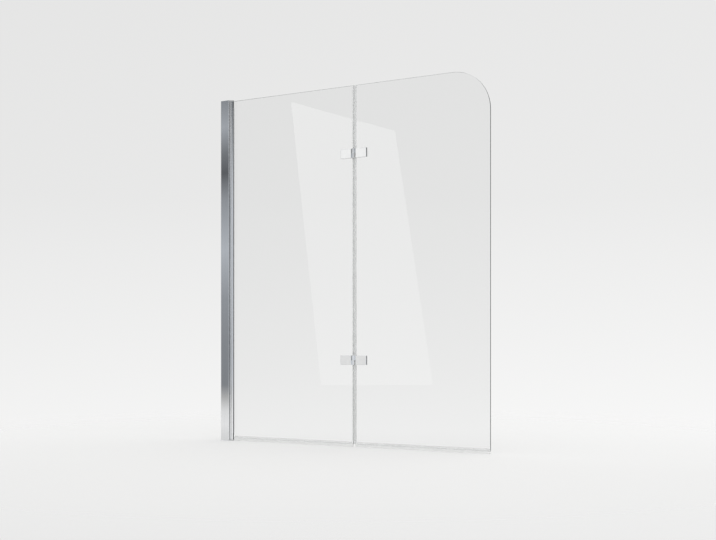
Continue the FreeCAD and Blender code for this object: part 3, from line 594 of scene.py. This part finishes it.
def make_upright_card(name, ends, steps, pieces, cover):
    """A card between two places on the floor plan, as high as its steps reach."""
    make_card(name, upright_corners(*ends, steps[0][0], steps[-1][0]), steps, pieces, cover)


def make_cards():
    """The cards for the panes, the wall channel, the hinge barrels and the groove beside the upright."""
    slots = {part["node"]: part["material_slot"] for part in frame["record"]["subparts"]}
    panes = [shown for node, shown in frame["nodes"].items() if slots[node] == "clear_glass"]
    others = [shown for node, shown in frame["nodes"].items() if slots[node] != "clear_glass"]
    hinges = [shown for node, shown in frame["nodes"].items() if slots[node] == "chrome_hinge"]
    profiles = [frame["nodes"][node] for node in GROOVE_NODES]
    piece_corners = [(x, y - CARD_GAP, z) for x, y, z in PANE_CARD_CORNERS]
    groove_ends = [(x, y + CARD_GAP) for x, y in BARREL_CARD_ENDS]
    pane_steps = tinted(PANE_CARD_STEPS, BACKDROP_TINT)
    piece_steps = tinted(PIECE_CARD_STEPS, BACKDROP_TINT)
    strip_steps = tinted(STRIP_FOOT_STEPS, BACKDROP_TINT) + tinted(STRIP_STEPS, STUDIO_TINT)
    barrel_steps = tinted(BARREL_CARD_STEPS, BACKDROP_TINT)
    groove_steps = tinted(GROOVE_CARD_STEPS, BACKDROP_TINT)
    make_card("pane_card", PANE_CARD_CORNERS, pane_steps, panes, CLEAR_COVER)
    make_card("piece_card", piece_corners, piece_steps, others, CLEAR_COVER)
    make_upright_card("strip_card", STRIP_CARD_ENDS, strip_steps, others, DARK_COVER)
    make_upright_card("barrel_card", BARREL_CARD_ENDS, barrel_steps, hinges, CLEAR_COVER)
    make_upright_card("groove_card", groove_ends, groove_steps, profiles, CLEAR_COVER)


def studio_light(tree, way, height):
    """The shader of the studio in front of the screen: brighter sides, and a dim sector between them."""
    level_way = tree.vector("MULTIPLY", way, LEVEL).outputs[0]
    heading = tree.vector("NORMALIZE", level_way).outputs[0]
    sector_share = tree.smooth(tree.dot(heading, SECTOR_WAY), SECTOR_OUTSIDE_SHARE, SECTOR_INSIDE_SHARE)
    side_steps = tinted(STUDIO_SIDE_FOOT_STEPS, BACKDROP_TINT) + tinted(STUDIO_SIDE_STEPS, STUDIO_TINT)
    side_colour = tree.ramp(height, SINE_DOWN, SINE_UP, side_steps)
    middle_colour = tree.ramp(height, SINE_DOWN, SINE_UP, tinted(STUDIO_STEPS, BACKDROP_TINT))
    sides = tree.add("ShaderNodeBackground", {"Color": side_colour})
    middle = tree.add("ShaderNodeBackground", {"Color": middle_colour})
    return tree.mix(sector_share, sides, middle)


def backdrop_light(tree, way, height, mirrored):
    """The shader of the backdrop all round, with a dark flag in it for reflections."""
    colour = tree.ramp(height, SINE_DOWN, SINE_UP, tinted(BACKDROP_STEPS, BACKDROP_TINT))
    leaning = tree.calc("ADD", FULL, tree.dot(way, BACKDROP_LEAN_SHARES))
    dimming = tree.calc("MULTIPLY", mirrored, BACKDROP_DIMMING_SHARE)
    strength = tree.calc("SUBTRACT", leaning, dimming)
    far = tree.add("ShaderNodeBackground", {"Color": colour, "Strength": strength})
    flag = tree.add("ShaderNodeBackground", {"Color": FLAG_COLOUR})
    flag_share = tree.smooth(tree.dot(way, FLAG_WAY), FLAG_OUTSIDE_SHARE, FLAG_INSIDE_SHARE)
    return tree.mix(tree.calc("MULTIPLY", mirrored, flag_share), far, flag)


def make_world():
    """A pale backdrop all round to the eye, and a dimmer studio in front that only reflections see."""
    world = bpy.data.worlds.new("studio")
    bpy.context.scene.world = world
    tree = Tree(world)
    way = tree.add("ShaderNodeTexCoord").outputs["Generated"]
    shares = tree.add("ShaderNodeSeparateXYZ", {0: way}).outputs
    path = tree.add("ShaderNodeLightPath").outputs
    # Sight straight through a pane counts as glossy too, but no mirroring lies on its path.
    bounced = tree.calc("GREATER_THAN", path["Glossy Depth"], MIRRORINGS_ABOVE)
    mirrored = tree.calc("MULTIPLY", path["Is Glossy Ray"], bounced)
    front_share = tree.smooth(shares["Y"], STUDIO_FROM_SHARE, STUDIO_TO_SHARE)
    behind = backdrop_light(tree, way, shares["Z"], mirrored)
    near = studio_light(tree, way, shares["Z"])
    mixed = tree.mix(tree.calc("MULTIPLY", mirrored, front_share), behind, near)
    tree.add("ShaderNodeOutputWorld", {"Surface": mixed.outputs[0]})


def make_lamp():
    """One large soft lamp overhead."""
    light = bpy.data.lights.new("overhead", "AREA")
    light.size = LAMP_SIZE
    light.energy = LAMP_WATTS
    lamp = bpy.data.objects.new("overhead", light)
    lamp.location = LAMP_PLACE
    hide_from(lamp, "camera", "glossy")
    bpy.context.scene.collection.objects.link(lamp)


def make_camera():
    """The photo's level camera with its lens shift."""
    lens = bpy.data.cameras.new("photo_camera")
    lens.sensor_fit = "HORIZONTAL"
    lens.sensor_width = SENSOR_WIDTH_MM
    lens.lens = SENSOR_WIDTH_MM * FOCAL_LENGTH_PIXELS / IMAGE_WIDTH
    lens.shift_y = (HORIZON_ROW - IMAGE_HEIGHT / 2) / IMAGE_WIDTH
    camera = bpy.data.objects.new("photo_camera", lens)
    camera.location = CAMERA_PLACE
    camera.rotation_euler = (math.radians(CAMERA_TILT), 0, math.radians(CAMERA_TURN))
    bpy.context.scene.collection.objects.link(camera)
    bpy.context.scene.camera = camera


dress_nodes()
make_floor()
make_scrim()
make_cards()
make_world()
make_lamp()
make_camera()
bpy.context.scene.view_settings.view_transform = "Standard"
